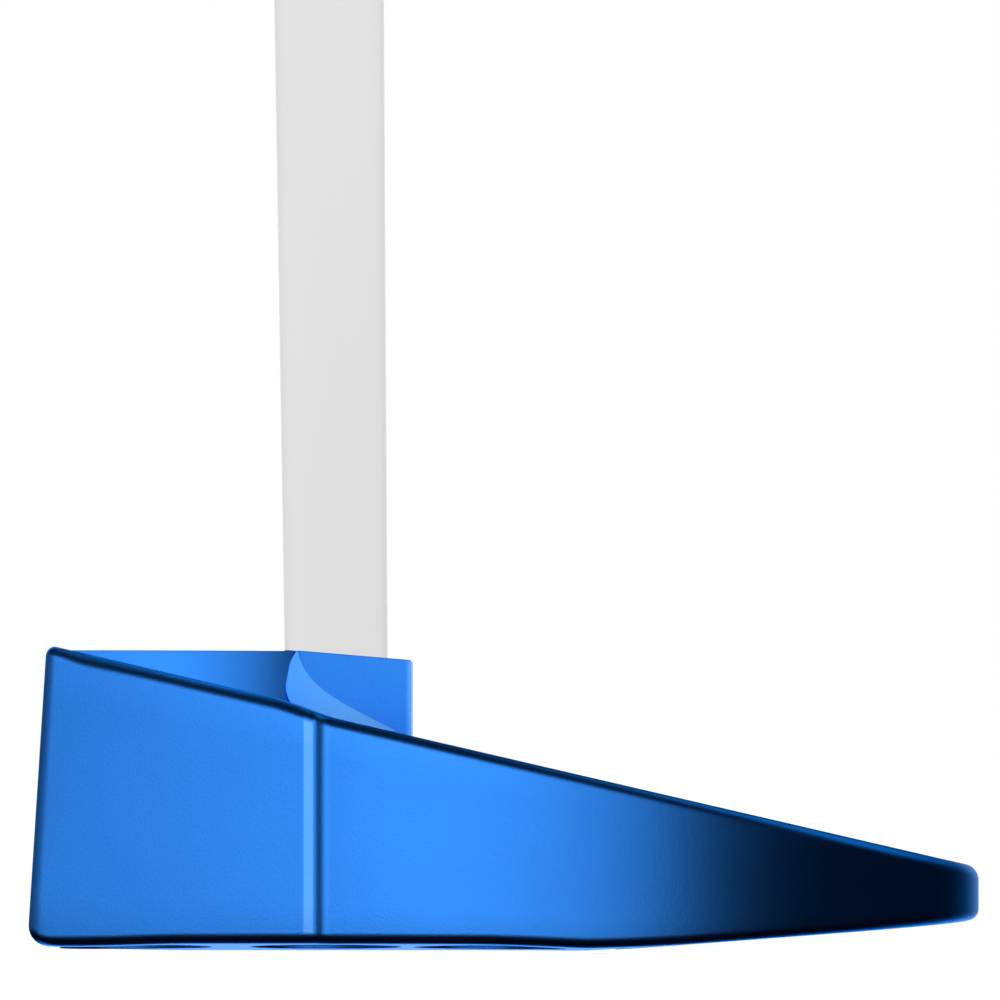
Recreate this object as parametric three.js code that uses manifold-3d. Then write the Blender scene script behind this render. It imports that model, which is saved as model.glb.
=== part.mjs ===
// A right-handed mallet golf putter: milled half-moon head, ten sole weights in ports, tapered
// shaft bonded into a centre riser, and a putter grip.
// Millimetres, +Z up. The face looks along -X, the heel is at -Y and the toe at +Y, and the origin
// lies on the flat of the sole.
import * as THREE from "three";
import { mergeVertices } from "three/addons/utils/BufferGeometryUtils.js";
import Module from "manifold-3d";

const wasm = await Module();
wasm.setup();

const degrees = Math.PI / 180;

// ---- driving dimensions ----

// Along the head, distances run from the leading edge of the face towards the tail.
const originSetback = 36; // leading edge to the part's origin
const headLength = 84.2;
const faceLoft = 3.6 * degrees;
const loftFadesAt = 12; // the sides are upright beyond this

// Plan outline, half of it: a nearly straight front block, a small step in, a half-ellipse behind.
const faceHalfWidth = 54.5;
const blockHalfWidth = 55.7;
const blockEnd = 23.3;
const stepLength = 2.2;
const sideStep = 0.5;
const bodyHalfWidth = blockHalfWidth - sideStep;
const ellipseCentre = 25.4;
const faceCornerRadius = 1.2;
const cornerSteps = 3;
const ellipseSteps = 36;

// Deck: one plane falling to the tail, with the front block standing a little proud of it.
const deckSlope = 0.2321;
const deckHeightAtBlockEnd = 21.48;
const deckStep = 0.56;
const edgeChamfer = 0.7;

// Sole: a camber of four flats on each side of the middle, and a ramp up to the tail.
const camberBreaks = [12, 26, 40];
const camberSlopes = [0.023, 0.0314, 0.0455];
const soleRearReliefStart = 49.4;
const soleRearRelief = 0.077;

// Neck and riser, which carry the shaft.
const neckHeight = 27;
const neckArcCentre = 3;
const neckArcRadius = 36.5;
const neckEnd = 22.3;
const neckEndHalfWidth = 10.2;
const neckFront = 2.4;
const riserHalfWidth = 10.6;
const riserEnd = 32.55;
const riserTopSlope = 0.085;
const footReach = 0.4; // how far the flared foot stands out to the side
const footSteps = 7;

// Sole weights: [distance from the leading edge, distance from the centre line].
const weightPlaces = [
  [9.1, 45.5],
  [25.5, 45.5],
  [39.8, 44],
  [57.4, 29.5],
  [70.4, 11.5],
];
const weightRadius = 6.4;
const weightThickness = 5;
const weightRecess = 0.5;
const weightChamfer = 0.4;
const portClearance = 0.2;
const hexAcrossFlats = 5;
const hexDepth = 2.6;

// Shaft, held in the riser by an epoxy sleeve.
const lieTilt = 20 * degrees;
const forwardLean = 0.3 * degrees;
const shaftEntry = 25.65; // leading edge to the shaft's axis, at the riser's top
const shaftInsertion = 18;
const tipRadius = 4.7;
const shaftTaper = 0.0033; // gain in radius per millimetre above the parallel tip
const shaftWall = 0.6;
const clubLength = 864; // 34 inches, along the shaft from the sole to the end of the grip
const fitGap = 0.1;
const bondThickness = 0.3;
const bondSetback = 2.4; // its end lies below the sloping mouth of the bore
const plugLength = 12;

// Grip.
const gripLength = 267;
const gripTapeThickness = 0.3;
const gripWidthAtEnd = 14; // half-sizes at the butt end
const gripWidthAtMouth = 9.6;
const gripFlatShare = 0.74; // the flat side's distance from the axis over the round side's
const capThickness = 4;
const capPlugLength = 10;
const ventRadius = 1.2;

// Sight lines, which are paint in shallow milled grooves.
const lineWidth = 1.8;
const lineDepth = 0.45;
const sideLineOffset = 8;

// ---- solids ----

function toSolid(geometry) {
  const plain = geometry.clone();
  for (const name of Object.keys(plain.attributes)) {
    if (name !== "position") plain.deleteAttribute(name);
  }
  const merged = mergeVertices(plain, 1e-4);
  return new wasm.Manifold(
    new wasm.Mesh({
      numProp: 3,
      vertProperties: merged.attributes.position.array,
      triVerts: new Uint32Array(merged.index.array),
    }),
  );
}

function toGeometry(solid) {
  const { vertProperties, triVerts } = solid.getMesh();
  const geometry = new THREE.BufferGeometry();
  geometry.setAttribute("position", new THREE.BufferAttribute(vertProperties, 3));
  geometry.setIndex(new THREE.BufferAttribute(triVerts, 1));
  geometry.computeVertexNormals();
  return geometry;
}

// A closed shape in the XY plane, raised along Z.
function raised(shape, bottom, top, curveSegments = 12) {
  const options = { depth: top - bottom, bevelEnabled: false, curveSegments };
  return new THREE.ExtrudeGeometry(shape, options).translate(0, 0, bottom);
}

// A closed profile of [x, z] points, carried along Y from one side to the other.
function sideways(profile, yFrom, yTo) {
  const shape = new THREE.Shape(profile.map(([x, z]) => new THREE.Vector2(x, z)));
  const options = { depth: yTo - yFrom, bevelEnabled: false };
  return new THREE.ExtrudeGeometry(shape, options).rotateX(Math.PI / 2).translate(0, yTo, 0);
}

function turned(profile, segments) {
  const points = profile.map(([radius, z]) => new THREE.Vector2(radius, z));
  return new THREE.LatheGeometry(points, segments).rotateX(Math.PI / 2);
}

// Rings of points joined into a tube, closed by a flat fan at each end, or into itself.
function lofted(rings, closesOnItself = false) {
  const count = rings[0].length;
  const positions = rings.flat().flatMap((p) => [p.x, p.y, p.z]);
  const index = [];
  const spans = closesOnItself ? rings.length : rings.length - 1;
  for (let r = 0; r < spans; r++) {
    const next = (r + 1) % rings.length;
    for (let i = 0; i < count; i++) {
      const j = (i + 1) % count;
      const [a, b, c, d] = [r * count + i, r * count + j, next * count + j, next * count + i];
      index.push(a, b, c, a, c, d);
    }
  }
  if (!closesOnItself) {
    const last = (rings.length - 1) * count;
    for (let i = 1; i < count - 1; i++) index.push(0, i + 1, i, last, last + i, last + i + 1);
  }
  const geometry = new THREE.BufferGeometry();
  geometry.setAttribute("position", new THREE.Float32BufferAttribute(positions, 3));
  geometry.setIndex(index);
  return geometry;
}

// ---- head surfaces ----

function soleHeight(x, y) {
  let camber = 0;
  camberBreaks.forEach((start, i) => {
    const end = camberBreaks[i + 1] ?? Infinity;
    camber += Math.max(0, Math.min(Math.abs(y), end) - start) * camberSlopes[i];
  });
  return camber + Math.max(0, x - soleRearReliefStart) * soleRearRelief;
}

function deckHeight(x) {
  const share = THREE.MathUtils.clamp((x - blockEnd) / stepLength, 0, 1);
  return deckHeightAtBlockEnd + deckStep - share * deckStep - deckSlope * (x - blockEnd);
}

// The face leans back: points near the front move towards the tail as they rise.
function leanBack(x, z) {
  const share = THREE.MathUtils.clamp(1 - x / loftFadesAt, 0, 1);
  return x + z * Math.tan(faceLoft) * share;
}

// Half of the plan outline, on the toe side, from the face to the tail.
function halfOutline() {
  const corner = faceCornerRadius;
  const stepEnd = blockEnd + stepLength;
  const reach = headLength - ellipseCentre;
  const points = [];
  for (let i = 0; i <= cornerSteps; i++) {
    const angle = (Math.PI / 2) * (1 - i / cornerSteps);
    points.push([corner - corner * Math.sin(angle), faceHalfWidth - corner + corner * Math.cos(angle)]);
  }
  points.push([blockEnd, blockHalfWidth]);
  const start = Math.asin((stepEnd - ellipseCentre) / reach);
  for (let i = 0; i < ellipseSteps; i++) {
    const angle = start + (Math.PI / 2 - start) * (i / ellipseSteps);
    points.push([ellipseCentre + reach * Math.sin(angle), bodyHalfWidth * Math.cos(angle)]);
  }
  return points;
}

// The head's plan outline, as points in order round it, counter-clockwise seen from above.
function planOutline() {
  const toe = halfOutline();
  const heel = toe.map(([x, y]) => new THREE.Vector2(x, -y));
  const tail = new THREE.Vector2(headLength, 0);
  return [...heel, tail, ...toe.map(([x, y]) => new THREE.Vector2(x, y)).reverse()];
}

const outline = planOutline();

// The outline moved along its own normal, outwards if positive.
function outlineOffset(distance) {
  return outline.map((p, i) => {
    const before = outline[(i + outline.length - 1) % outline.length];
    const after = outline[(i + 1) % outline.length];
    const along = after.clone().sub(before).normalize();
    return new THREE.Vector2(p.x + along.y * distance, p.y - along.x * distance);
  });
}

function ringAt(points, heightOf) {
  return points.map((p) => {
    const z = heightOf(p);
    return new THREE.Vector3(leanBack(p.x, z), p.y, z);
  });
}

// A slab between the sole and the deck, wider than the head.
function slab() {
  const xs = [-20, blockEnd, blockEnd + stepLength, soleRearReliefStart, headLength + 20];
  const breaks = [...camberBreaks, 80];
  const ys = [...breaks.map((y) => -y).reverse(), ...breaks];
  const sections = xs.map((x) => {
    const under = ys.map((y) => new THREE.Vector3(x, y, soleHeight(x, y)));
    const over = ys.map((y) => new THREE.Vector3(x, y, deckHeight(x))).reverse();
    return [...under, ...over];
  });
  return toSolid(lofted(sections));
}

// What a chamfer takes off the edge where the wall meets a surface of that height.
function edgeCutter(heightOf, up) {
  const wall = outlineOffset(0.2);
  const inner = outlineOffset(-edgeChamfer - 0.2);
  const past = up * 0.2;
  const rings = [
    ringAt(inner, (p) => heightOf(p) + past),
    ringAt(wall, (p) => heightOf(p) - up * (edgeChamfer + 0.2)),
    ringAt(outlineOffset(1), (p) => heightOf(p) + up),
  ];
  return toSolid(lofted(up > 0 ? rings : rings.reverse(), true));
}

function halfNeckWidth(x) {
  const arc = (at) => Math.sqrt(neckArcRadius ** 2 - (at - neckArcCentre) ** 2);
  return neckEndHalfWidth + arc(x) - arc(neckEnd);
}

// The neck and riser in plan: an arc on each side narrowing to the riser's straight sides.
function neckPlan() {
  const steps = 10;
  const toe = [];
  for (let i = 0; i <= steps; i++) {
    const x = neckFront + ((neckEnd - neckFront) * i) / steps;
    toe.push(new THREE.Vector2(x, halfNeckWidth(x)));
  }
  toe.push(new THREE.Vector2(neckEnd, riserHalfWidth), new THREE.Vector2(riserEnd, riserHalfWidth));
  const heel = toe.map((p) => new THREE.Vector2(p.x, -p.y));
  return new THREE.Shape([...heel, ...toe.reverse()]);
}

function riserTopAt(x) {
  return neckHeight - Math.max(0, x - neckEnd) * riserTopSlope;
}

function neckAndRiser() {
  const root = deckHeight(riserEnd) - 3;
  const profile = [
    [0, root],
    [riserEnd + 5, root],
    [riserEnd + 5, riserTopAt(riserEnd + 5)],
    [neckEnd, neckHeight],
    [0, neckHeight],
  ];
  return toSolid(raised(neckPlan(), 0, neckHeight + 5)).intersect(toSolid(sideways(profile, -40, 40)));
}

// The flared foot on the front corner of the riser: a leaf-shaped pad whose back edge runs down the
// riser's wall and whose nose curves forward over the end of the neck.
function riserFoot(side) {
  const top = new THREE.Vector2(neckEnd, riserTopAt(neckEnd) - 0.3);
  const rear = new THREE.Vector2(riserEnd - 1.7, deckHeight(riserEnd - 1.7) - 0.5);
  const root = new THREE.Vector2(neckEnd + 3, deckHeight(neckEnd + 3) - 1.5);
  const shape = new THREE.Shape();
  shape.moveTo(top.x, top.y);
  shape.quadraticCurveTo(neckEnd - 2, deckHeight(neckEnd) + 2.2, root.x, root.y);
  shape.lineTo(rear.x, rear.y);
  shape.quadraticCurveTo(neckEnd + 1.4, deckHeight(neckEnd) + 0.7, top.x, top.y);
  const depth = 1 + footReach;
  const pad = new THREE.ExtrudeGeometry(shape, { depth, bevelEnabled: false, curveSegments: footSteps });
  pad.rotateX(Math.PI / 2).translate(0, side > 0 ? riserHalfWidth + footReach : 1 - riserHalfWidth, 0);
  return toSolid(pad);
}

// ---- frames ----

// The shaft's frame: its origin is where the axis leaves the riser, and its Z runs up the shaft.
const shaftFrame = new THREE.Group();
shaftFrame.position.set(shaftEntry, 0, riserTopAt(shaftEntry));
shaftFrame.rotation.set(lieTilt, -forwardLean, 0, "YXZ");
shaftFrame.updateMatrix();

// A weight's frame: on the sole at that place, with Z into the head, square to the sole.
function weightFrame(x, y) {
  const step = 0.01;
  const slopeX = (soleHeight(x + step, y) - soleHeight(x, y)) / step;
  const slopeY = (soleHeight(x, y + step) - soleHeight(x, y)) / step;
  const up = new THREE.Vector3(-slopeX, -slopeY, 1).normalize();
  const frame = new THREE.Group();
  frame.position.set(x, y, soleHeight(x, y));
  frame.quaternion.setFromUnitVectors(new THREE.Vector3(0, 0, 1), up);
  frame.updateMatrix();
  return frame;
}

// ---- sight lines ----

// A bar lying in a surface: from and to are distances from the leading edge.
function lineBar({ from, to, y, heightOf }, width, depth, above) {
  const profile = [
    [from, heightOf(from) - depth],
    [to, heightOf(to) - depth],
    [to, heightOf(to) + above],
    [from, heightOf(from) + above],
  ];
  return sideways(profile, y - width / 2, y + width / 2);
}

const sightLines = {
  sight_line_centre: { from: 36, to: 79, y: 0, heightOf: deckHeight },
  sight_line_toe: { from: 64, to: 76, y: sideLineOffset, heightOf: deckHeight },
  sight_line_heel: { from: 64, to: 76, y: -sideLineOffset, heightOf: deckHeight },
  sight_line_neck: { from: 4.5, to: 18, y: 0, heightOf: () => neckHeight },
};

// ---- materials ----

const material = (color, roughness, metalness) => new THREE.MeshStandardMaterial({ color, roughness, metalness });
const anodisedBlue = material(0x2b7fe6, 0.36, 1);
const steel = material(0xb9bcc0, 0.3, 1);
const whiteLacquer = material(0xe3e3e3, 0.35, 0);
const epoxy = material(0x2a2a2c, 0.5, 0);
const cork = material(0xb08d5c, 0.9, 0);
const tape = material(0xe8e2cf, 0.9, 0);
const gripRubber = material(0x1d1e20, 0.8, 0);
const capPlastic = material(0x2a4f8f, 0.4, 0);
const whitePaint = material(0xf2f3f4, 0.5, 0);

function named(name, geometry, finish) {
  const mesh = new THREE.Mesh(geometry, finish);
  mesh.name = name;
  return mesh;
}

// ---- pieces ----

function headBody() {
  const prism = toSolid(lofted([ringAt(outline, () => -5), ringAt(outline, () => 45)]));
  let body = prism.intersect(slab());
  body = body.subtract(edgeCutter((p) => deckHeight(p.x), 1));
  body = body.subtract(edgeCutter((p) => soleHeight(p.x, p.y), -1));
  body = body.add(neckAndRiser()).add(riserFoot(1)).add(riserFoot(-1));
  for (const [x, away] of weightPlaces) {
    for (const y of [away, -away]) {
      const port = new THREE.CylinderGeometry(weightRadius + portClearance, weightRadius + portClearance, 10, 40);
      port.rotateX(Math.PI / 2).translate(0, 0, weightRecess + weightThickness + portClearance - 5);
      body = body.subtract(toSolid(port.applyMatrix4(weightFrame(x, y).matrix)));
    }
  }
  const boreRadius = tipRadius + bondThickness + 2 * fitGap;
  const boreDepth = shaftInsertion + 0.5;
  const bore = new THREE.CylinderGeometry(boreRadius, boreRadius, boreDepth + 20, 32);
  bore.rotateX(Math.PI / 2).translate(0, 0, 10 - boreDepth / 2);
  body = body.subtract(toSolid(bore.applyMatrix4(shaftFrame.matrix)));
  for (const line of Object.values(sightLines)) {
    body = body.subtract(toSolid(lineBar(line, lineWidth, lineDepth, 1)));
  }
  return named("head_body", toGeometry(body), anodisedBlue);
}

function soleWeight() {
  const back = weightThickness;
  const c = weightChamfer;
  const profile = [
    [0, 0],
    [weightRadius - c, 0],
    [weightRadius, c],
    [weightRadius, back - c],
    [weightRadius - c, back],
    [0, back],
  ];
  const hexRadius = hexAcrossFlats / 2 / Math.cos(Math.PI / 6);
  const socket = new THREE.CylinderGeometry(hexRadius, hexRadius, 2 * hexDepth, 6).rotateX(Math.PI / 2);
  return toGeometry(toSolid(turned(profile, 40)).subtract(toSolid(socket)));
}

function shaftRadiusAt(z) {
  return tipRadius + shaftTaper * Math.max(0, z);
}

const shaftEnd = clubLength - neckHeight / Math.cos(lieTilt) - capThickness;
const gripStart = shaftEnd + capThickness - gripLength;

function shaft() {
  const bottom = -shaftInsertion;
  const profile = [
    [tipRadius, bottom],
    [tipRadius, 0],
    [shaftRadiusAt(shaftEnd), shaftEnd],
    [shaftRadiusAt(shaftEnd) - shaftWall, shaftEnd],
    [tipRadius - shaftWall, 0],
    [tipRadius - shaftWall, bottom],
    [tipRadius, bottom],
  ];
  return named("shaft", turned(profile, 32), whiteLacquer);
}

// A thin sleeve round the shaft between two heights, a small gap away from it.
function sleeve(bottom, top, thickness) {
  const inside = (z) => shaftRadiusAt(z) + fitGap;
  const profile = [
    [inside(bottom) + thickness, bottom],
    [inside(top) + thickness, top],
    [inside(top), top],
    [inside(bottom), bottom],
    [inside(bottom) + thickness, bottom],
  ];
  return turned(profile, 32);
}

function tipPlug() {
  const bottom = -shaftInsertion;
  const radius = tipRadius - shaftWall - fitGap;
  const profile = [
    [0, bottom],
    [radius, bottom],
    [radius, bottom + plugLength],
    [0, bottom + plugLength],
  ];
  return named("shaft_tip_plug", turned(profile, 24), cork);
}

// One section of the grip: round on the golfer's side, flattened on the thumb side.
function gripSection(z, size) {
  const count = 32;
  const ring = [];
  for (let i = 0; i < count; i++) {
    const angle = (2 * Math.PI * i) / count;
    const y = Math.min(size * Math.sin(angle), size * gripFlatShare);
    ring.push(new THREE.Vector3(size * 0.92 * Math.cos(angle), y, z));
  }
  return ring;
}

function gripSizeAt(share) {
  const swell = Math.sin(Math.PI * Math.min(1, share / 0.8)) * 0.5;
  const pistol = THREE.MathUtils.smoothstep(share, 0.45, 0.95);
  return THREE.MathUtils.lerp(gripWidthAtMouth, gripWidthAtEnd, 0.35 * share + 0.65 * pistol) + swell;
}

function gripSleeve() {
  const top = shaftEnd;
  const rings = [];
  const steps = 14;
  for (let i = 0; i <= steps; i++) {
    const share = i / steps;
    rings.push(gripSection(gripStart + (top - gripStart) * share, gripSizeAt(share)));
  }
  const bore = (z) => shaftRadiusAt(z) + gripTapeThickness + 2 * fitGap;
  const profile = [
    [0, gripStart - 1],
    [bore(gripStart), gripStart - 1],
    [bore(top), top + 1],
    [0, top + 1],
  ];
  const sleeveSolid = toSolid(lofted(rings)).subtract(toSolid(turned(profile, 32)));
  return named("grip_sleeve", toGeometry(sleeveSolid), gripRubber);
}

function gripCap() {
  const gap = 0.2;
  const ring = [gripSection(shaftEnd + gap, gripSizeAt(1)), gripSection(shaftEnd + capThickness, gripSizeAt(1) * 0.9)];
  const plugRadius = shaftRadiusAt(shaftEnd) - shaftWall - 2 * fitGap;
  const plug = new THREE.CylinderGeometry(plugRadius, plugRadius - 0.3, capPlugLength + 1, 32);
  plug.rotateX(Math.PI / 2).translate(0, 0, shaftEnd + gap - (capPlugLength - 1) / 2);
  const vent = new THREE.CylinderGeometry(ventRadius, ventRadius, 40, 16).rotateX(Math.PI / 2);
  vent.translate(0, 0, shaftEnd);
  const solid = toSolid(lofted(ring)).add(toSolid(plug)).subtract(toSolid(vent));
  return named("grip_cap", toGeometry(solid), capPlastic);
}

// ---- assembly ----

const head = new THREE.Group();
head.position.x = -originSetback;
head.add(headBody());

const weightGeometry = soleWeight();
weightPlaces.forEach(([x, away], i) => {
  for (const [side, y] of [["heel", -away], ["toe", away]]) {
    const frame = weightFrame(x, y);
    const weight = named(`sole_weight_${side}_${i + 1}`, weightGeometry, steel);
    weight.position.z = weightRecess;
    frame.add(weight);
    head.add(frame);
  }
});

for (const [name, line] of Object.entries(sightLines)) {
  const inset = { ...line, from: line.from + fitGap, to: line.to - fitGap };
  const bar = lineBar(inset, lineWidth - 2 * fitGap, lineDepth - fitGap, -0.02);
  head.add(named(name, bar, whitePaint));
}

shaftFrame.add(
  shaft(),
  named("shaft_bond", sleeve(-shaftInsertion, -bondSetback, bondThickness), epoxy),
  tipPlug(),
  named("grip_tape", sleeve(gripStart + 2, shaftEnd - 1, gripTapeThickness), tape),
  gripSleeve(),
  gripCap(),
);
head.add(shaftFrame);

const putter = new THREE.Group();
putter.add(head);

export default putter;
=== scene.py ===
import math

import bmesh
import bpy
import numpy as np
from mathutils import Matrix, Vector


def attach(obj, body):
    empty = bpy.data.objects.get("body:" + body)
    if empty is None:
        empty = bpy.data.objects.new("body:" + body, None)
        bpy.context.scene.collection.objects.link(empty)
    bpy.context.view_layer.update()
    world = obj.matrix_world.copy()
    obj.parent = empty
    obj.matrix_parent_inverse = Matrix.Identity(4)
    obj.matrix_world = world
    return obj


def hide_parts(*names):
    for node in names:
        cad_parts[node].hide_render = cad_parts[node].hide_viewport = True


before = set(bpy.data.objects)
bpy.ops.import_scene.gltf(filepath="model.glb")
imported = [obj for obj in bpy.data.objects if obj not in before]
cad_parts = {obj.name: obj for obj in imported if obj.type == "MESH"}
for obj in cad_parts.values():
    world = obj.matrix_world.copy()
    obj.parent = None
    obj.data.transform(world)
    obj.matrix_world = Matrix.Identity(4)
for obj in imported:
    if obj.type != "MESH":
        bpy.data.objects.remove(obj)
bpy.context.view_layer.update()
mm = 0.001


# A grid of points (rows, columns, 3) becomes quads; wrap joins the last column to the first.
def gridQuads(points, wrap=False):
    rows, columns = points.shape[:2]
    index = np.arange(rows * columns).reshape(rows, columns)
    if wrap:
        index = np.hstack([index, index[:, :1]])
    quads = np.stack([index[:-1, :-1], index[:-1, 1:], index[1:, 1:], index[1:, :-1]], axis=-1)
    return points.reshape(-1, 3), quads.reshape(-1, 4)


# Patches of (points, quads) in millimetres become one object with its seams merged, smooth except
# where faces meet at more than the given angle.
def makePiece(name, patches, material, body, sharpAngle=32, mergeWithin=0.002):
    points, quads, start = [], [], 0
    for patchPoints, patchQuads in patches:
        points.append(patchPoints)
        quads.append(patchQuads + start)
        start += len(patchPoints)
    points = np.concatenate(points) * mm
    quads = np.concatenate(quads)
    mesh = bpy.data.meshes.new(name)
    mesh.from_pydata(points.tolist(), [], quads.tolist())
    work = bmesh.new()
    work.from_mesh(mesh)
    bmesh.ops.remove_doubles(work, verts=work.verts, dist=mergeWithin * mm)
    bmesh.ops.dissolve_degenerate(work, dist=1e-9, edges=work.edges)
    bmesh.ops.recalc_face_normals(work, faces=work.faces)
    work.to_mesh(mesh)
    work.free()
    mesh.shade_smooth()
    mesh.set_sharp_from_angle(angle=math.radians(sharpAngle))
    mesh.materials.append(material)
    piece = bpy.data.objects.new(name, mesh)
    bpy.context.scene.collection.objects.link(piece)
    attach(piece, body)
    return piece


# Rings of points (rings, around, 3), each closed on itself, with a pole put at both ends.
def closedRings(rings):
    first = np.repeat(rings[:1].mean(axis=1, keepdims=True), rings.shape[1], axis=1)
    last = np.repeat(rings[-1:].mean(axis=1, keepdims=True), rings.shape[1], axis=1)
    return gridQuads(np.concatenate([first, rings, last]), wrap=True)


# A profile of (radius, height) turned about Z: x = r cos a, y = r sin a.
def turned(profile, around=96):
    profile = np.asarray(profile, float)
    angle = np.linspace(0, 2 * np.pi, around, endpoint=False)
    radius, height = profile[:, :1], profile[:, 1:]
    x, y = radius * np.cos(angle), radius * np.sin(angle)
    return np.stack([x, y, np.broadcast_to(height, x.shape)], axis=-1)


# Moves points by a 4 by 4 matrix.
def moved(points, matrix):
    m = np.array(matrix)
    return points @ m[:3, :3].T + m[:3, 3]


# A slope given at a few places is read between them and summed, so the result is a smooth curve.
def summedSlope(x, places, slopes):
    fine = np.linspace(places[0], places[-1], 2001)
    slope = np.interp(fine, places, slopes)
    total = np.concatenate([[0], np.cumsum((slope[1:] + slope[:-1]) / 2 * np.diff(fine))])
    return np.interp(x, fine, total)


def smoothStep(x, start, end):
    share = np.clip((x - start) / (end - start), 0, 1)
    return share * share * (3 - 2 * share)


def hexColor(text):
    value = np.array([int(text[i:i + 2], 16) for i in (1, 3, 5)]) / 255
    linear = np.where(value <= 0.04045, value / 12.92, ((value + 0.055) / 1.055) ** 2.4)
    return (*linear.tolist(), 1.0)


def addNode(tree, kind, settings=None, links=None):
    node = tree.nodes.new(kind)
    for key, value in (settings or {}).items():
        if key in node.inputs:
            node.inputs[key].default_value = value
        else:
            setattr(node, key, value)
    for key, source in (links or {}).items():
        tree.links.new(source, node.inputs[key])
    return node


def newMaterial(name):
    material = bpy.data.materials.new(name)
    material.use_nodes = True
    tree = material.node_tree
    shader = tree.nodes["Principled BSDF"]
    place = addNode(tree, "ShaderNodeTexCoord").outputs["Object"]
    return material, tree, shader, place


# A noise whose features are about the given size in millimetres.
def addNoise(tree, place, size, detail, roughness=0.5):
    settings = {"Scale": 1 / (size * mm), "Detail": detail, "Roughness": roughness}
    return addNode(tree, "ShaderNodeTexNoise", settings, {"Vector": place}).outputs["Fac"]


def addRange(tree, value, low, high, start=0.0, end=1.0):
    settings = {"From Min": start, "From Max": end, "To Min": low, "To Max": high}
    return addNode(tree, "ShaderNodeMapRange", settings, {"Value": value}).outputs["Result"]


# Sets shader sockets to plain values.
def setShader(shader, values):
    for key, value in values.items():
        shader.inputs[key].default_value = value


# Bead-blasted, blue anodised 6061 aluminium: a satin metal whose dye colours every reflection.
# The blast's pits are about 0.1 mm; they are drawn larger so that they show.
anodised = {
    "pit": 0.2,
    "dye": "#368FFA",
    "edgeDye": "#61C2FF",     # what it keeps at a glancing angle
    "cutAndHighlightDye": "#58A0F4",      # a lighter blue where a cutter has left the faces smoother: a painted highlight
    "roughness": 0.36,
    "cutRoughness": 0.3,
    "cloud": 9.0,             # the roughness wanders over patches of this size
    "uneven": 0.012,
    "grainStrength": 0.6,
    "grainDepth": 0.022,
}


def anodisedMaterial():
    material, tree, shader, place = newMaterial("anodised bead-blasted 6061 aluminium")
    grain = addNoise(tree, place, anodised["pit"], 3.0, 0.6)
    cloud = addNoise(tree, place, anodised["cloud"], 2.0)
    cutAndPaintedHighlight = addNode(tree, "ShaderNodeAttribute", {"attribute_name": "cutAndPaintedHighlight"}).outputs["Fac"]
    rough = addRange(tree, cutAndPaintedHighlight, anodised["roughness"], anodised["cutRoughness"])
    vary = addRange(tree, cloud, -anodised["uneven"], anodised["uneven"], 0.3, 0.7)
    total = addNode(tree, "ShaderNodeMath", {"operation": "ADD"})
    tree.links.new(rough, total.inputs[0])
    tree.links.new(vary, total.inputs[1])
    relief = {"Strength": anodised["grainStrength"], "Distance": anodised["grainDepth"] * mm}
    bump = addNode(tree, "ShaderNodeBump", relief, {"Height": grain})
    # Cut faces are mixed towards the lighter dye: a painted highlight.
    dye = addNode(tree, "ShaderNodeMix", {"data_type": "RGBA"}, {"Factor": cutAndPaintedHighlight})
    dye.inputs["A"].default_value = hexColor(anodised["dye"])
    dye.inputs["B"].default_value = hexColor(anodised["cutAndHighlightDye"])
    tree.links.new(dye.outputs["Result"], shader.inputs["Base Color"])
    tree.links.new(total.outputs["Value"], shader.inputs["Roughness"])
    tree.links.new(bump.outputs["Normal"], shader.inputs["Normal"])
    setShader(shader, {"Specular Tint": hexColor(anodised["edgeDye"]), "Metallic": 1.0})
    return material


# A plain finish: fine grain sets a shallow bump and makes the roughness wander by the spread.
def plainMaterial(name, color, roughness, metallic=0.0, grainSize=0.3, bumpDepth=0.01, extra=None):
    spread = 0.04
    material, tree, shader, place = newMaterial(name)
    grain = addNoise(tree, place, grainSize, 4.0)
    rough = addRange(tree, grain, roughness - spread, roughness + spread)
    relief = {"Strength": 0.3, "Distance": bumpDepth * mm}
    bump = addNode(tree, "ShaderNodeBump", relief, {"Height": grain})
    tree.links.new(rough, shader.inputs["Roughness"])
    tree.links.new(bump.outputs["Normal"], shader.inputs["Normal"])
    setShader(shader, {"Base Color": hexColor(color), "Metallic": metallic, **(extra or {})})
    return material


blueMetal = anodisedMaterial()
shaftLacquer = plainMaterial(
    "satin white lacquer on a steel tube", "#E3E3E3", 0.34,
    grainSize=0.4, bumpDepth=0.002, extra={"Specular IOR Level": 0.15},
)
gripRubber = plainMaterial("moulded soft rubber", "#232427", 0.74, grainSize=0.35, bumpDepth=0.05)
capPlastic = plainMaterial("moulded blue nylon", "#1F57B4", 0.4, grainSize=0.5, bumpDepth=0.01)
whitePaint = plainMaterial("white enamel paint fill", "#F1F2F3", 0.45, grainSize=0.3, bumpDepth=0.02)
weightMetal = plainMaterial(
    "turned blue anodised slug", "#1E6FC8", 0.28, metallic=1.0, grainSize=0.2, bumpDepth=0.004,
)
# Black epoxy; the ring made of it at the shaft's foot is also a painted shadow.
epoxy = plainMaterial("cured black shafting epoxy", "#18191B", 0.3)
cork = plainMaterial("pressed cork", "#A98557", 0.85, grainSize=0.8, bumpDepth=0.08)
paperTape = plainMaterial("double-sided paper grip tape", "#DDD5BC", 0.85)
print("materials made")


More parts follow.
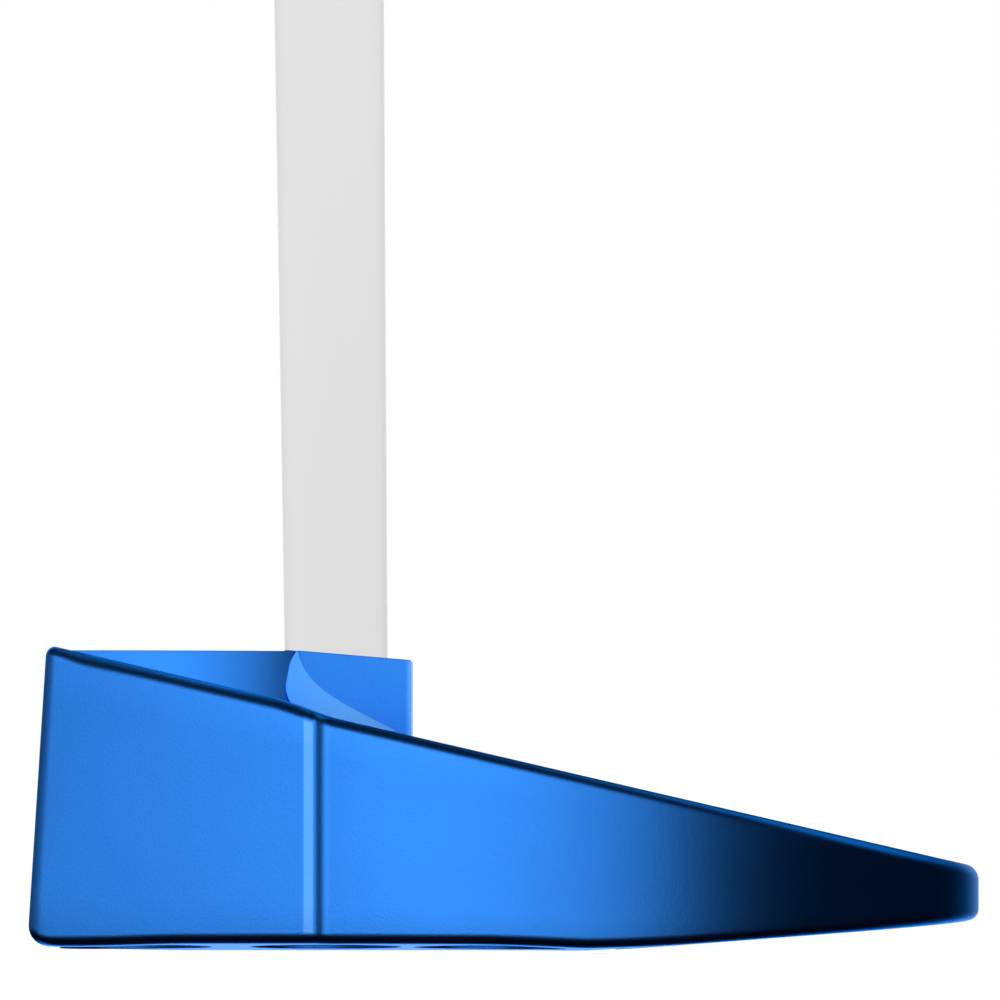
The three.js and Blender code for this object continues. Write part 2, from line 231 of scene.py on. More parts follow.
# All in millimetres. x runs from the leading edge to the tail, y from the centre line, z up from the
# sole.
head = {
    "setback": 36.0,          # leading edge to the origin
    "length": 84.2,
    "loft": math.radians(3.6),
    "loftFades": 12.0,        # the sides are upright beyond this
    "blockWidth": 55.7,       # half-width at the back of the front block
    "faceNarrowing": 1.2,     # how much less it is at the face
    "blockEnd": 23.3,
    "stepEnd": 26.2,
    # The side step, as a slope at each distance: a shallow facet, a steep part, a hollow run-out.
    "stepPlaces": (23.3, 23.6, 24.05, 24.55, 24.95, 25.25, 25.9, 26.2),
    "stepSlopes": (0.0, 0.0, 0.22, 0.22, 0.66, 0.66, 0.05, 0.0),
    "facet": (23.8, 24.6),    # the part of the step that is smoother, and painted lighter as a highlight
    "ellipseCentre": 25.4,
    "cornerRadius": 0.36,
    "shiftFades": 10.0,       # the sides' points slide back to follow the leading edge's fillet to here
    "deckAtFront": 26.89,     # the wing's plane, carried forward to the leading edge
    "deckSlope": 0.2321,
    "deckStep": 0.56,
    "deckBlend": 2.6,         # the deck starts to step down this far ahead of the block's end
    "topFilletBlock": 1.3,
    "topFilletWing": 1.12,
    "topFilletFace": 0.8,
    "topFilletTail": 0.35,    # what the top fillet gains over the tail's last stretch
    "tailStretch": 2.5,
    "soleFillet": 1.0,
    "soleFilletFace": 1.9,
    "camberRadius": 1050.0,
    "camberAtFront": 2200.0,
    "frontRelief": 0.6,
    "frontReach": 14.0,       # the sole flattens and lifts over this length behind the leading edge
    "camberFades": (38.0, 58.0),
    "camberLost": 0.45,       # the share of the camber that is gone at the tail
    "reliefStart": 47.2,
    "relief": 0.0745,
    "alongSamples": (7, 34, 26, 116),
    "acrossSamples": 200,
}

def toPart(points):
    return points - np.array([head["setback"], 0, 0])


# 1 on the front block and 0 on the wing.
def onBlock(x):
    return 1 - smoothStep(x, head["blockEnd"] - head["deckBlend"], head["stepEnd"])


# Height of the deck: a plane falling at 13 degrees, with the front block a step above it.
def deckHeight(x):
    return head["deckAtFront"] - head["deckSlope"] * x + head["deckStep"] * onBlock(x)


# Height of the sole: a camber y^2 / 2R across that fades towards the tail, a lift at the leading edge
# and a ramp up to the tail, s (sqrt(d^2 + 1) - 1).
def soleHeight(x, y):
    ramp = head["relief"] * (np.sqrt(np.square(np.maximum(x - head["reliefStart"], 0)) + 1) - 1)
    front = np.square(np.clip(1 - x / head["frontReach"], 0, 1))
    radius = head["camberRadius"] + (head["camberAtFront"] - head["camberRadius"]) * front
    camber = y ** 2 / (2 * radius) * (1 - head["camberLost"] * smoothStep(x, *head["camberFades"]))
    return camber + head["frontRelief"] * front + ramp


# Half of the plan outline, from the middle of the face's corner round to the tail: a corner arc, the
# front block's side widening as 1 - (1 - x / end)^2, the small step in, then a quarter ellipse.
def halfOutline():
    corner, block, step, ellipse = head["alongSamples"]
    r = head["cornerRadius"]
    faceWidth = head["blockWidth"] - head["faceNarrowing"]
    turn = np.linspace(0, np.pi / 2, corner, endpoint=False)
    cornerX, cornerY = r - r * np.cos(turn), faceWidth - r + r * np.sin(turn)
    blockX = np.linspace(r, head["blockEnd"], block, endpoint=False)
    blockY = head["blockWidth"] - head["faceNarrowing"] * (1 - blockX / head["blockEnd"]) ** 2
    stepX = np.linspace(head["blockEnd"], head["stepEnd"], step, endpoint=False)
    stepY = head["blockWidth"] - summedSlope(stepX, head["stepPlaces"], head["stepSlopes"])
    drop = summedSlope(head["stepEnd"], head["stepPlaces"], head["stepSlopes"])
    reach = head["length"] - head["ellipseCentre"]
    start = math.asin((head["stepEnd"] - head["ellipseCentre"]) / reach)
    angle = np.linspace(start, np.pi / 2, ellipse + 1)[:-1]
    ellipseX = head["ellipseCentre"] + reach * np.sin(angle)
    ellipseY = (head["blockWidth"] - drop) / math.cos(start) * np.cos(angle)
    alongX = np.concatenate([cornerX, blockX, stepX, ellipseX])
    alongY = np.concatenate([cornerY, blockY, stepY, ellipseY])
    return alongX, alongY


# Outward normals of a closed loop of points that runs counter-clockwise.
def loopNormals(loop):
    along = np.roll(loop, -1, axis=0) - np.roll(loop, 1, axis=0)
    along /= np.linalg.norm(along, axis=1, keepdims=True)
    return np.stack([along[:, 1], -along[:, 0]], axis=1)


# The whole outline: heel side from face to tail, the tail, the toe side back, then the face.
def wholeOutline():
    x, y = halfOutline()
    heel = np.stack([x, -y], axis=1)
    toe = np.stack([x, y], axis=1)[::-1]
    tail = np.array([[head["length"], 0.0]])
    width = y[0]
    faceY = np.linspace(width, -width, head["acrossSamples"] + 1)[1:-1]
    face = np.stack([np.zeros_like(faceY), faceY], axis=1)
    return np.concatenate([heel, tail, toe, face]), len(x)


# The face leans back, by the loft's tangent times height, fading out along the sides.
def leanBack(points):
    share = np.clip(1 - points[..., 0] / head["loftFades"], 0, 1)
    shift = points[..., 2] * math.tan(head["loft"]) * share
    return points + np.stack([shift, 0 * shift, 0 * shift], axis=-1)


# Height of a surface at the place a point has after it leans back.
def heightAfterLean(surface, x, y):
    z = surface(x, y)
    for _ in range(4):
        share = np.clip(1 - x / head["loftFades"], 0, 1)
        z = surface(x + z * math.tan(head["loft"]) * share, y)
    return z


def deckSurface(x, y):
    return deckHeight(x) + 0 * y


# The sole weights and their ports. Each place is a distance behind the leading edge and one from the
# centre line, and there is a weight at both sides of that line.
weight = {
    "places": [(9.1, 45.5), (25.5, 45.5), (39.8, 44.0), (57.4, 29.5), (70.4, 11.5)],
    "radius": 6.4,
    "portRadius": 6.6,
    "mouthChamfer": 0.04,
    "snapWithin": 0.56,       # the sole's points this near to a port's rim are moved onto it
    "thickness": 5.0,
    "recess": 0.5,
    "edgeChamfer": 0.4,
    "hexAcross": 5.0,
    "hexDepth": 2.6,
    "dish": 0.25,
}


# How far the outline's points move in for a fillet: along the normal, except that the corners of the
# face move in both ways without turning.
def filletInset(loop, drop, faceReach):
    x, y = loop.T
    corner = head["cornerRadius"]
    inset = -loopNormals(loop) * drop[:, None]
    fade = np.clip((head["shiftFades"] - x) / (head["shiftFades"] - corner), 0, 1)
    inset[:, 0] = np.where(fade > 0, np.maximum(inset[:, 0], faceReach * fade), inset[:, 0])
    across = np.clip(y / (y.max() - head["faceNarrowing"] - corner), -1, 1)
    inset[:, 1] = np.where(x < corner, -drop * across, inset[:, 1])
    return inset


# A fillet is a quarter ellipse: inset a (1 - cos t), and b (1 - sin t) short of the surface.
def fillet(loop, angles, drop, faceReach, surface, up):
    inset = filletInset(loop, drop, faceReach)
    inner = loop + inset
    edge = heightAfterLean(surface, inner[:, 0], inner[:, 1])
    rows = []
    for angle in angles:
        flat = loop + inset * (1 - math.cos(angle))
        rows.append(np.column_stack([flat, edge - up * drop * (1 - math.sin(angle))]))
    return np.array(rows)


# The deck or the sole: straight rows from the heel edge to the toe edge, laid on the surface.
def sheet(edge, half, surface):
    tail = edge[half:half + 1]
    heel = np.concatenate([edge[:half], tail])
    toe = np.concatenate([edge[half + 1:2 * half + 1][::-1], tail])
    share = np.linspace(0, 1, head["acrossSamples"] + 1)[None, :, None]
    grid = heel[:, None, :] * (1 - share) + toe[:, None, :] * share
    grid[0, 1:-1] = edge[2 * half + 1:][::-1]
    inner = grid[1:, 1:-1]
    inner[..., 2] = heightAfterLean(surface, inner[..., 0], inner[..., 1])
    return grid


# Round each port, points near its rim are moved onto the rim, and the quads inside are left out.
def openPorts(points, quads):
    rim = weight["portRadius"] + weight["mouthChamfer"]
    for px, py in weight["places"]:
        for centre in ((px, py), (px, -py)):
            offset = points[:, :2] - centre
            distance = np.linalg.norm(offset, axis=1)
            snap = np.abs(distance - rim) < weight["snapWithin"]
            onRim = np.array(centre) + offset[snap] / distance[snap, None] * rim
            points[snap, :2] = onRim
            points[snap, 2] = soleHeight(onRim[:, 0], onRim[:, 1])
            inside = np.linalg.norm(points[:, :2] - centre, axis=1) < rim + 1e-6
            middle = np.linalg.norm(points[quads].mean(axis=1)[:, :2] - centre, axis=1) < rim
            quads = quads[~(inside[quads].all(axis=1) & middle)]
    return points, quads


def buildHead():
    loop, half = wholeOutline()
    x = loop[:, 0]
    front = 1 - smoothStep(x, 0.2, 4)
    lowFront = 1 - smoothStep(x, 0, 1.4)
    tail = smoothStep(x, head["length"] - head["tailStretch"], head["length"]) * head["topFilletTail"]
    blockDrop = head["topFilletBlock"] + (head["topFilletFace"] - head["topFilletBlock"]) * front
    topDrop = head["topFilletWing"] + (blockDrop - head["topFilletWing"]) * onBlock(x) + tail
    lowDrop = head["soleFillet"] + (head["soleFilletFace"] - head["soleFillet"]) * lowFront
    quarter = np.linspace(np.pi / 2, 0, 9)
    top = fillet(loop, quarter, topDrop, head["topFilletFace"], deckSurface, 1)
    low = fillet(loop, quarter[::-1], lowDrop, head["soleFilletFace"], soleHeight, -1)
    wall = np.linspace(0, 1, 8)[1:-1, None, None]
    strip = np.concatenate([top, top[-1] * (1 - wall) + low[0] * wall, low])
    patches = [
        gridQuads(leanBack(sheet(top[0], half, deckSurface))),
        gridQuads(leanBack(strip), wrap=True),
        openPorts(*gridQuads(leanBack(sheet(low[-1], half, soleHeight)))),
    ]
    patches = [(toPart(points), quads) for points, quads in patches]
    for px, py in weight["places"]:
        for sign in (-1, 1):
            patches.append(gridQuads(moved(portWall(), weightPlace(px, sign * py)), wrap=True))
    piece = makePiece("headShell", patches, blueMetal, "club")
    markCutAndHighlight(piece)
    return piece


# The port: a chamfered mouth, the wall, and the floor closed with a pole.
def portWall():
    r, c = weight["portRadius"], weight["mouthChamfer"]
    floor = weight["recess"] + weight["thickness"] + 0.2
    profile = [(r + c, 0), (r, c), (r, floor), (r * 0.5, floor), (0.0, floor)]
    return turned(profile, 72)


# A weight's place: its origin on the sole and Z square to it, into the head.
def weightPlace(x, y):
    step = 0.01
    slopeX = float(soleHeight(x + step, np.array(y)) - soleHeight(x, np.array(y))) / step
    slopeY = float(soleHeight(x, np.array(y + step)) - soleHeight(x, np.array(y))) / step
    up = Vector((-slopeX, -slopeY, 1)).normalized()
    turn = Vector((0, 0, 1)).rotation_difference(up).to_matrix().to_4x4()
    height = float(soleHeight(x, np.array(y)))
    return Matrix.Translation((x - head["setback"], y, height)) @ turn


def vertexPlaces(piece):
    places = np.empty(len(piece.data.vertices) * 3)
    piece.data.vertices.foreach_get("co", places)
    return places.reshape(-1, 3) / mm + [head["setback"], 0, 0]


# How far the cutter has smoothed each point and painted it lighter as a highlight, from 0 (blasted) to 1.
def setCutAndHighlight(piece, values):
    attribute = piece.data.attributes.new("cutAndPaintedHighlight", "FLOAT", "POINT")
    attribute.data.foreach_set("value", np.clip(values, 0, 1).astype(np.float32))


# The step's facet is marked as cut: smoother, and painted lighter as a highlight.
def markCutAndHighlight(piece):
    x, y, z = vertexPlaces(piece).T
    start, end = head["facet"]
    onSide = (np.abs(y) > head["blockWidth"] - 1) & (z < deckHeight(x) - 1) & (z > 2.4)
    setCutAndHighlight(piece, (x > start) & (x < end) & onSide)


# The neck, the riser that the shaft goes into and the foot at each side of it.
riser = {
    "neckHeight": 26.98,
    "arcCentre": 3.0,
    "arcRadius": 35.0,
    "neckEnd": 21.85,
    "neckEndWidth": 10.06,
    "neckFront": 2.2,
    "width": 10.6,
    "flare": 0.055,           # the riser's sides open out towards the tail
    "front": 22.3,
    "end": 32.55,
    "frontHeight": 27.03,
    "topSlope": 0.085,
    "edge": 0.06,
    "corner": 0.04,
    "footEdge": 0.45,
    "footTilt": 0.13,         # how far the foot leans out for each mm from its crease
    "footCutAndHighlight": (0.5, 0.11),   # how far it counts as cut, smoother and painted lighter as a highlight, at its front, and the gain with each mm
    "root": 2.0,              # how far the blocks go down into the deck
    # Where the foot leaves the riser's wall and where it ends, as smooth curves through (x, z).
    "crease": (
        (22.35, 26.95), (22.62, 26.0), (23.1, 25.1), (23.8, 24.25), (24.75, 23.4),
        (25.9, 22.6), (27.3, 21.8), (29.0, 20.9), (31.2, 19.8),
    ),
    "nose": (
        (22.25, 26.95), (21.75, 26.1), (21.42, 25.1), (21.3, 24.2), (21.38, 23.1),
        (21.8, 22.2), (22.7, 21.25), (24.1, 20.3), (26.0, 19.3),
    ),
}


# A flat-topped block: a plan loop carried up a wall, over a small round edge and in to its middle.
def block(loop, bottom, topHeight, edge):
    normal = loopNormals(loop)
    rows = [np.column_stack([loop, np.full(len(loop), bottom)])]
    for a in np.linspace(0, np.pi / 2, 5):
        flat = loop - normal * edge * (1 - math.cos(a))
        rows.append(np.column_stack([flat, topHeight(flat[:, 0]) - edge * (1 - math.sin(a))]))
    middle = loop.mean(axis=0)
    for share in (0.35, 0.7, 0.97):
        flat = (loop - normal * edge) * (1 - share) + middle * share
        rows.append(np.column_stack([flat, topHeight(flat[:, 0])]))
    return closedRings(np.array(rows))


# A box in plan, its corners rounded with arcs and its long sides filled with points.
def roundedBox(x0, x1, y1, r, samples=6, along=24):
    centres = [(x0 + r, -y1 + r, 180), (x1 - r, -y1 + r, 270), (x1 - r, y1 - r, 0), (x0 + r, y1 - r, 90)]
    points = []
    for cx, cy, start in centres:
        a = np.radians(np.linspace(start, start + 90, samples))
        points.append(np.column_stack([cx + r * np.cos(a), cy + r * np.sin(a)]))
    loop = np.concatenate(points)
    filled = []
    for here, following in zip(loop, np.roll(loop, -1, axis=0)):
        isLong = np.linalg.norm(following - here) > 2
        filled.append(np.linspace(here, following, along, endpoint=False) if isLong else here[None])
    return np.concatenate(filled)


# Half-width of the neck: an arc, so that its sides turn in towards the riser.
def neckWidth(x):
    def arc(at):
        return np.sqrt(riser["arcRadius"] ** 2 - (at - riser["arcCentre"]) ** 2)

    return riser["neckEndWidth"] + arc(x) - arc(riser["neckEnd"])


def neckLoop():
    x = np.linspace(riser["neckFront"], riser["front"] + 0.8, 60)
    width = neckWidth(x)
    heel = np.column_stack([x, -width])
    toe = np.column_stack([x, width])[::-1]
    back = np.column_stack([np.full(9, x[-1]), np.linspace(-width[-1], width[-1], 11)[1:-1]])
    front = np.column_stack([np.full(19, x[0]), np.linspace(width[0], -width[0], 21)[1:-1]])
    return np.concatenate([heel, back, toe, front])


def riserTop(x):
    return riser["frontHeight"] - riser["topSlope"] * (x - riser["front"])


def neckSurface(x):
    return np.full_like(x, riser["neckHeight"])


# Half-width of the riser, whose sides open out towards the tail.
def riserWall(x):
    return riser["width"] - riser["flare"] * (riser["end"] - x)


# A curve near a few points: a polynomial of the fifth degree for each coordinate.
def smoothThrough(points, count):
    points = np.array(points)
    t = np.linspace(0, 1, len(points))
    fine = np.linspace(0, 1, count)
    coefficients = [np.polyfit(t, points[:, k], 5) for k in (0, 1)]
    return np.column_stack([np.polyval(c, fine) for c in coefficients])


# The foot on the riser's front corner: straight rulings from the crease on the riser's wall down and
# out to the nose edge, and an edge that slants back into the neck.
def foot(side):
    crease = smoothThrough(riser["crease"], 40)
    nose = smoothThrough(riser["nose"], 40)
    share = np.linspace(0, 1, 12)[None, :, None]
    flat = crease[:, None, :] * (1 - share) + nose[:, None, :] * share
    fromCrease = np.linalg.norm(flat[:, :, None, :] - crease[None, None, :, :], axis=-1).min(axis=2)
    out = side * (riserWall(crease[:, :1]) + 0.02 + riser["footTilt"] * fromCrease)
    face = np.stack([flat[..., 0], out, flat[..., 1]], axis=-1)
    ruling = nose - crease
    ruling /= np.linalg.norm(ruling, axis=1, keepdims=True)
    behind = flat + riser["footEdge"] * share ** 2 * ruling[:, None, :]
    inWall = np.full_like(out, side * (riser["width"] - 1.1))
    back = np.stack([behind[..., 0], inWall, behind[..., 1]], axis=-1)
    return closedRings(np.concatenate([face, back[:, ::-1]], axis=1))


def buildRiser():
    neckRoot, boxRoot = (float(deckHeight(x)) - riser["root"] for x in (24.0, 33.4))
    plan = roundedBox(riser["front"], riser["end"], riser["width"], riser["corner"])
    plan[:, 1] *= 1 - riser["flare"] * (riser["end"] - plan[:, 0]) / riser["width"]
    patches = [
        block(neckLoop(), neckRoot, neckSurface, riser["edge"]),
        block(plan, boxRoot, riserTop, riser["edge"]),
        foot(-1),
        foot(1),
    ]
    patches = [(toPart(points), quads) for points, quads in patches]
    piece = makePiece("neckAndRiser", patches, blueMetal, "club", sharpAngle=25)
    # The feet, more so towards the tail, and the riser's back corner count as cut: smoother, and painted
    # lighter as a highlight.
    x, y = vertexPlaces(piece).T[:2]
    besideNeck = np.abs(y) > neckWidth(np.minimum(x, 24)) + 0.01
    onFoot = (np.abs(y) > riserWall(x) + 0.015) & ((x > riser["front"] + 0.7) | besideNeck)
    cutAndPaintedHighlight, gain = riser["footCutAndHighlight"]
    setCutAndHighlight(piece, onFoot * (cutAndPaintedHighlight + gain * (x - 22.5)) + (x > riser["end"] - 0.05))
    return piece


# A weight: rings from its inner end out over its rim to a dished face, then down a hexagonal socket.
def buildWeight(name, body, place):
    around = 72
    angle = np.linspace(0, 2 * np.pi, around, endpoint=False)
    # Distance to a hexagon's side in each direction: half across flats over cos of the folded angle.
    hexRadius = weight["hexAcross"] / 2 / np.cos((angle + np.pi / 6) % (np.pi / 3) - np.pi / 6)
    r, t, c = weight["radius"], weight["thickness"], weight["edgeChamfer"]
    dish, depth = weight["dish"], weight["hexDepth"]
    land = r - c
    profile = [(r * 0.5, t), (land, t), (r, t - c), (r, c), (land, 0), (land - 0.5, 0), (land - 0.8, dish)]
    outline = [(np.full(around, radius), z) for radius, z in profile]
    for scale, z in ((1.06, dish), (1.0, dish + 0.15), (1.0, depth), (0.5, depth + 0.5)):
        outline.append((hexRadius * scale, z))
    rings = np.array([
        np.column_stack([radius * np.cos(angle), radius * np.sin(angle), np.full(around, z)])
        for radius, z in outline
    ])
    rings[..., 2] += weight["recess"]
    points, quads = closedRings(rings)
    piece = makePiece(name, [(moved(points, place), quads)], weightMetal, body)
    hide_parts(name.replace("Visual", ""))


shaft = {
    "lie": math.radians(20),
    "lean": math.radians(0.3),
    "entry": 25.65,
    "insertion": 18.0,
    "tipRadius": 4.7,
    "taper": 0.0033,
    "wall": 0.6,
    "clubLength": 864.0,
    "capThickness": 4.0,
    "gripLength": 267.0,
}
neckTop = 27.0
shaftTop = shaft["clubLength"] - neckTop / math.cos(shaft["lie"]) - shaft["capThickness"]
gripStart = shaftTop + shaft["capThickness"] - shaft["gripLength"]
entryHeight = neckTop - (shaft["entry"] - riser["front"]) * riser["topSlope"]
shaftPlace = (
    Matrix.Translation((shaft["entry"] - head["setback"], 0, entryHeight))
    @ Matrix.Rotation(-shaft["lean"], 4, "Y")
    @ Matrix.Rotation(shaft["lie"], 4, "X")
)


def shaftRadius(z):
    return shaft["tipRadius"] + shaft["taper"] * np.maximum(0, z)


# A tapered tube: its outside, then its inside back down, closed at both ends.
def buildShaft():
    bottom = -shaft["insertion"]
    heights = np.linspace(bottom, shaftTop, 60)
    outside = np.column_stack([shaftRadius(heights), heights])
    inside = outside[::-1] - [shaft["wall"], 0]
    rings = turned(np.concatenate([outside, inside, outside[:1]]), 128)
    piece = makePiece("shaftTube", [gridQuads(moved(rings, shaftPlace), wrap=True)], shaftLacquer, "club")
    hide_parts("shaft")


# The epoxy that holds the shaft: a thin sleeve down its bore, squeezed out as a black ring on the riser that
# also stands as painted shadow at the shaft's foot.
bond = {"width": 0.03, "rise": 0.07, "depth": 17.0}


def buildBondAndShadowRing():
    angle = np.linspace(0, 2 * np.pi, 96, endpoint=False)
    inner, outer = shaft["tipRadius"] - 0.1, shaft["tipRadius"] + bond["width"]
    lip = shaft["tipRadius"] + 0.015
    low, high = -bond["depth"], bond["rise"]
    profile = [(inner, low), (outer, low), (outer, 0.04), (lip, high), (inner, high)]
    rows = []
    for radius, rise in profile + profile[:1]:
        x, y = radius * np.cos(angle), radius * np.sin(angle)
        # The ring lies along the sloped top, so its height is worked back into the leaning frame.
        z = (rise - riser["topSlope"] * x - math.sin(shaft["lie"]) * y) / math.cos(shaft["lie"])
        rows.append(np.column_stack([x, y, z]))
    rings = moved(np.array(rows), shaftPlace)
    piece = makePiece("epoxyBondAndShadowRing", [gridQuads(rings, wrap=True)], epoxy, "club")
    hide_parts("shaft_bond")


grip = {
    "endWidth": 14.0,
    "mouthWidth": 9.6,
    "flatShare": 0.74,        # how far out the flat thumb side lies
    "grooveDepth": 0.35,
    "groovePitch": 4.0,
    # The cap, as a height above the shaft's end and a share of the grip's section there.
    "capRings": (
        (0.2, 0.96), (0.3, 1.0), (1.6, 1.0), (3.0, 0.975), (3.7, 0.93),
        (4.0, 0.86), (4.0, 0.5), (4.0, 0.13), (2.5, 0.1),
    ),
}


# Half-size of the grip at each share of its length: a straight taper, a pistol swell in the upper
# half and a slight bulge.
def gripSize(share):
    swell = np.sin(np.pi * np.minimum(1, share / 0.8)) * 0.5
    along = 0.35 * share + 0.65 * smoothStep(share, 0.45, 0.95)
    return grip["mouthWidth"] + (grip["endWidth"] - grip["mouthWidth"]) * along + swell


# A grip section: round, with the thumb side cut flat; the corner is eased with a soft minimum.
def gripSection(angle, size):
    x = size * 0.92 * np.cos(angle)
    y = size * np.sin(angle)
    flat = size * grip["flatShare"]
    soft = 0.7
    return x, -soft * np.logaddexp(-y / soft, -flat / soft)


# The sleeve: the section swept up the shaft, less thin grooves all round but on the thumb side.
def buildGrip():
    around = 144
    angle = np.linspace(0, 2 * np.pi, around, endpoint=False)[None, :]
    z = np.linspace(gripStart, shaftTop, 420)[:, None]
    share = (z - gripStart) / (shaftTop - gripStart)
    ends = smoothStep(share, 0.03, 0.06) * (1 - smoothStep(share, 0.93, 0.96))
    thumb = smoothStep(np.sin(angle), 0.45, 0.65)
    wave = 0.5 + 0.5 * np.cos(2 * np.pi * (z - gripStart) / grip["groovePitch"])
    groove = grip["grooveDepth"] * wave ** 6 * (1 - thumb) * ends
    size = gripSize(share) - groove
    lip = 1.0 * (1 - smoothStep(share, 0.0, 0.004))
    x, y = gripSection(angle, size - lip)
    outside = np.stack([x, y, np.broadcast_to(z, x.shape)], axis=-1)
    bore = np.array([gripStart, shaftTop])
    radius = shaftRadius(bore) + 0.5
    inside = np.stack([
        np.stack([r * np.cos(angle[0]), r * np.sin(angle[0]), np.full(around, h)], axis=-1)
        for r, h in zip(radius[::-1], bore[::-1])
    ])
    rings = np.concatenate([outside, inside, outside[:1]])
    patch = gridQuads(moved(rings, shaftPlace), wrap=True)
    piece = makePiece("gripRubberSleeve", [patch], gripRubber, "club")
    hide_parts("grip_sleeve")


def buildGripCap():
    around = 144
    angle = np.linspace(0, 2 * np.pi, around, endpoint=False)
    rows = []
    for rise, scale in grip["capRings"]:
        x, y = gripSection(angle, gripSize(np.array([1.0])) * scale)
        rows.append(np.column_stack([x, y, np.full(around, shaftTop + rise)]))
    points, quads = closedRings(np.array(rows))
    piece = makePiece("gripEndCap", [(moved(points, shaftPlace), quads)], capPlastic, "club")
    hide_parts("grip_cap")


# Each line runs from one distance behind the leading edge to another, at its own y.
sightLine = {
    "width": 1.6,
    "proud": 0.02,
    "lines": {
        "sight_line_centre": (36.1, 78.9, 0.0),
        "sight_line_heel": (64.1, 75.9, -8.0),
        "sight_line_toe": (64.1, 75.9, 8.0),
        "sight_line_neck": (4.6, 17.9, 0.0),
    },
}


# A stadium in plan, laid on the deck: rings shrink from its edge to its middle line.
def buildSightLine(name, start, end, y):
    r = sightLine["width"] / 2
    a = np.radians(np.linspace(90, 270, 12))
    left = np.column_stack([start + r + r * np.cos(a), r * np.sin(a)])
    right = np.column_stack([end - r - r * np.cos(a), -r * np.sin(a)])
    loop = np.concatenate([left, right])
    surface = neckSurface if name == "sight_line_neck" else deckHeight
    middle = np.column_stack([np.clip(loop[:, 0], start + r, end - r), np.zeros(len(loop))])
    rows = []
    for inset, rise in ((0, -0.3), (0, 0), (0.06, sightLine["proud"]), (r * 0.9, sightLine["proud"])):
        share = inset / r
        ring = loop * (1 - share) + middle * share
        rows.append(np.column_stack([ring[:, 0], ring[:, 1] + y, surface(ring[:, 0]) + rise]))
    half = len(loop) // 2
    patches = [gridQuads(np.array(rows), wrap=True)]
    for row in (rows[-1], rows[0]):
        patches.append(gridQuads(np.stack([row[:half], row[half:][::-1]], axis=1)))
    patches = [(toPart(points), quads) for points, quads in patches]
    piece = makePiece(name + "Paint", patches, whitePaint, "club")
    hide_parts(name)


shell = buildHead()
neck = buildRiser()
for piece in (shell, neck):
    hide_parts("head_body")
    piece.visible_diffuse = False
print("head made")

for number, (px, py) in enumerate(weight["places"], 1):
    for side, sign in (("heel", -1), ("toe", 1)):
        node = f"sole_weight_{side}_{number}"
        buildWeight(node + "Visual", f"weight_{side}_{number}", weightPlace(px, sign * py))
for name, (start, end, y) in sightLine["lines"].items():
    buildSightLine(name, start, end, y)
print("weights and sight lines made")

buildShaft()
buildBondAndShadowRing()
buildGrip()
buildGripCap()
for node, finish in (("shaft_tip_plug", cork), ("grip_tape", paperTape)):
    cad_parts[node].data.materials.clear()
    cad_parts[node].data.materials.append(finish)
print("shaft and grip made")


# Beside the heel, in metres, looking slightly up.
camera = {"place": (4.6 * mm, -0.9, 17.46 * mm), "pitch": 1.49, "lens": 355.0}
cameraData = bpy.data.cameras.new("sideCamera")
cameraData.lens = camera["lens"]
cameraData.sensor_width = 36
cameraData.clip_start = 0.05
cameraData.clip_end = 50
cameraObject = bpy.data.objects.new("sideCamera", cameraData)
cameraObject.location = camera["place"]
cameraObject.rotation_euler = (math.radians(90 + camera["pitch"]), 0, 0)
bpy.context.scene.collection.objects.link(cameraObject)
bpy.context.scene.camera = cameraObject


# The floor lies just under the sole. It looks white and lights nothing by itself.
floorReach, floorDrop = 30.0, 0.0004
corners = [(-1, -1), (1, -1), (1, 1), (-1, 1)]
floorMesh = bpy.data.meshes.new("studioFloor")
floorMesh.from_pydata([(floorReach * x, floorReach * y, -floorDrop) for x, y in corners], [], [(0, 1, 2, 3)])
floorMaterial = bpy.data.materials.new("white lit table")
floorMaterial.use_nodes = True
floorShader = floorMaterial.node_tree.nodes["Principled BSDF"]
setShader(floorShader, {
    "Base Color": (0.05, 0.05, 0.05, 1),
    "Roughness": 0.9,
    "Emission Color": (1, 1, 1, 1),
    "Emission Strength": 1.0,
    "Specular IOR Level": 0.0,
})
floorMesh.materials.append(floorMaterial)
floor = bpy.data.objects.new("studioFloor", floorMesh)
bpy.context.scene.collection.objects.link(floor)
floor.visible_glossy = False
floor.visible_diffuse = False

world = bpy.data.worlds.new("studio")
bpy.context.scene.world = world
world.use_nodes = True
tree = world.node_tree
tree.nodes.clear()
path = addNode(tree, "ShaderNodeLightPath").outputs
direction = addNode(tree, "ShaderNodeTexCoord").outputs["Generated"]
toward = addNode(tree, "ShaderNodeSeparateXYZ", {}, {"Vector": direction}).outputs


def ramp(value, start, end, low, high):
    result = addRange(tree, value, low, high, start, end)
    result.node.interpolation_type = "SMOOTHSTEP"
    return result


def calculate(operation, first, second=None):
    node = addNode(tree, "ShaderNodeMath", {"operation": operation})
    for socket, value in zip(node.inputs, (first, second)):
        if isinstance(value, (int, float)):
            socket.default_value = value
        elif value is not None:
            tree.links.new(value, socket)
    return node.outputs["Value"]


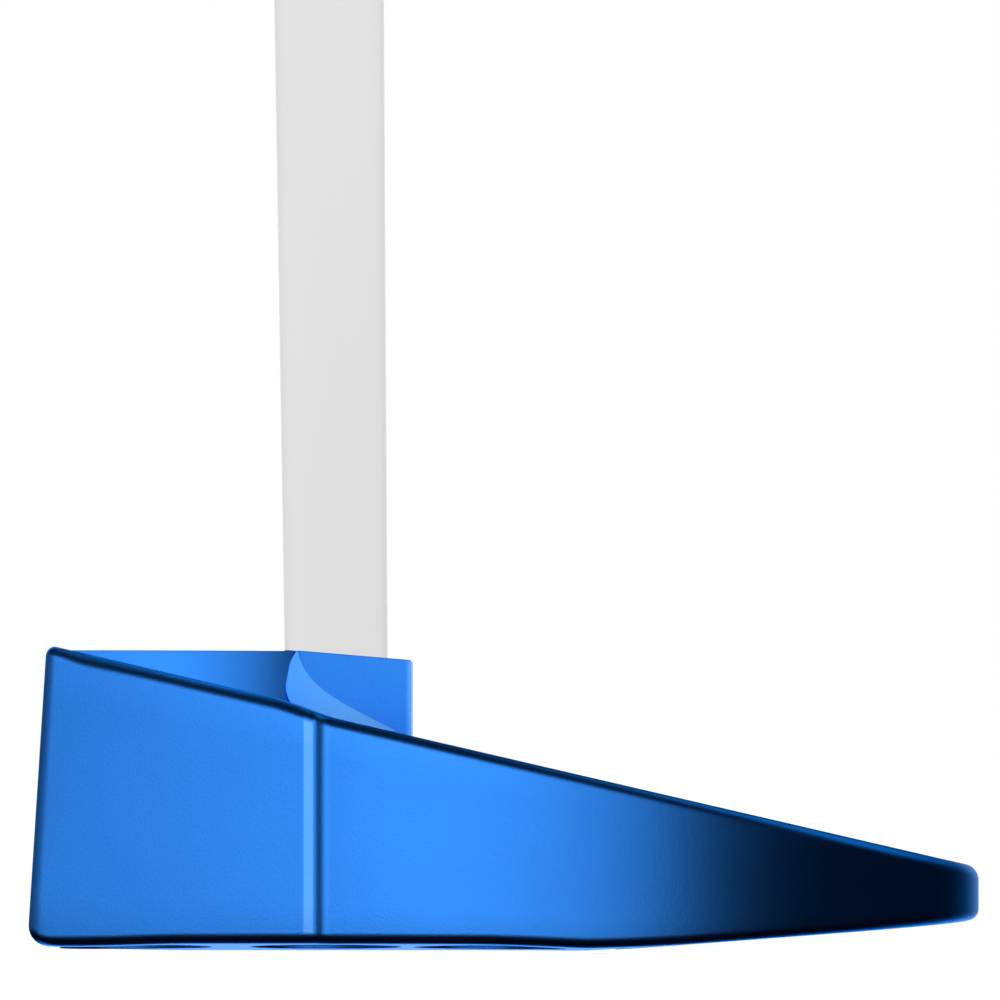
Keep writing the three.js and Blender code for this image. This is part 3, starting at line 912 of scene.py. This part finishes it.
# What the metal sees of the studio: a white table edge low down behind, a white wall high on the
# right, a grey one on the left, and black cloth elsewhere. Paint and rubber are lit evenly, and the
# background is white.
steepness = calculate("ABSOLUTE", toward["Z"])
aside = calculate("ABSOLUTE", toward["X"])
lowBehind = ramp(toward["Y"], 0.6, 0.9, 0.0, 1.9)
lowBehind = calculate("MULTIPLY", lowBehind, ramp(aside, 0.12, 0.5, 1.0, 0.0))
lowBehind = calculate("MULTIPLY", lowBehind, ramp(toward["Z"], 0.06, 0.22, 1.0, 0.0))
lowBehind = calculate("MULTIPLY", lowBehind, ramp(toward["Z"], -0.75, -0.4, 0.0, 1.0))
rightHigh = ramp(toward["X"], 0.2, 0.5, 0.0, 0.62)
rightHigh = calculate("MULTIPLY", rightHigh, ramp(toward["Z"], 0.2, 0.42, 0.0, 1.0))
rightHigh = calculate("MULTIPLY", rightHigh, ramp(toward["Y"], 0.2, 0.5, 0.0, 1.0))
leftGrey = ramp(toward["X"], -0.5, -0.15, 0.2, 0.0)
leftGrey = calculate("MULTIPLY", leftGrey, ramp(steepness, 0.25, 0.5, 1.0, 0.0))
reflected = calculate("ADD", calculate("ADD", lowBehind, rightHigh), leftGrey)
fill = ramp(toward["Z"], -1.0, 1.0, 0.98, 1.1)
glossy = calculate("MULTIPLY", path["Is Glossy Ray"], reflected)
diffuse = calculate("MULTIPLY", path["Is Diffuse Ray"], fill)
strength = calculate("ADD", path["Is Camera Ray"], calculate("ADD", glossy, diffuse))
background = addNode(tree, "ShaderNodeBackground", {"Color": (1, 1, 1, 1)}, {"Strength": strength})
addNode(tree, "ShaderNodeOutputWorld", {}, {"Surface": background.outputs["Background"]})

# Softboxes, which only reflections see: azimuth from straight in front, elevation, distance, width
# and height in metres, and radiance.
softboxes = {
    "frontKey": (16.5, 8, 1.3, 2.15, 1.1, 1.0),
    "frontCore": (16, 9, 1.25, 0.8, 0.6, 0.64),
    "leftHigh": (-95, 34, 1.5, 1.0, 0.8, 1.1),
    "backHigh": (205, 42, 1.6, 1.3, 0.9, 1.1),
}
for name, (azimuth, elevation, distance, width, tall, radiance) in softboxes.items():
    light = bpy.data.lights.new(name, "AREA")
    light.shape = "RECTANGLE"
    light.size, light.size_y = width, tall
    light.energy = radiance * width * tall * math.pi
    a, e = math.radians(azimuth), math.radians(elevation)
    back = Vector((math.sin(a) * math.cos(e), -math.cos(a) * math.cos(e), math.sin(e)))
    lamp = bpy.data.objects.new(name, light)
    lamp.location = Vector((0, 0, 15 * mm)) + back * distance
    lamp.rotation_euler = back.to_track_quat("Z", "Y").to_euler()
    lamp.visible_diffuse = False
    lamp.visible_camera = False
    bpy.context.scene.collection.objects.link(lamp)

bpy.context.scene.view_settings.view_transform = "Standard"
bpy.context.scene.view_settings.look = "None"
print("camera and light made")
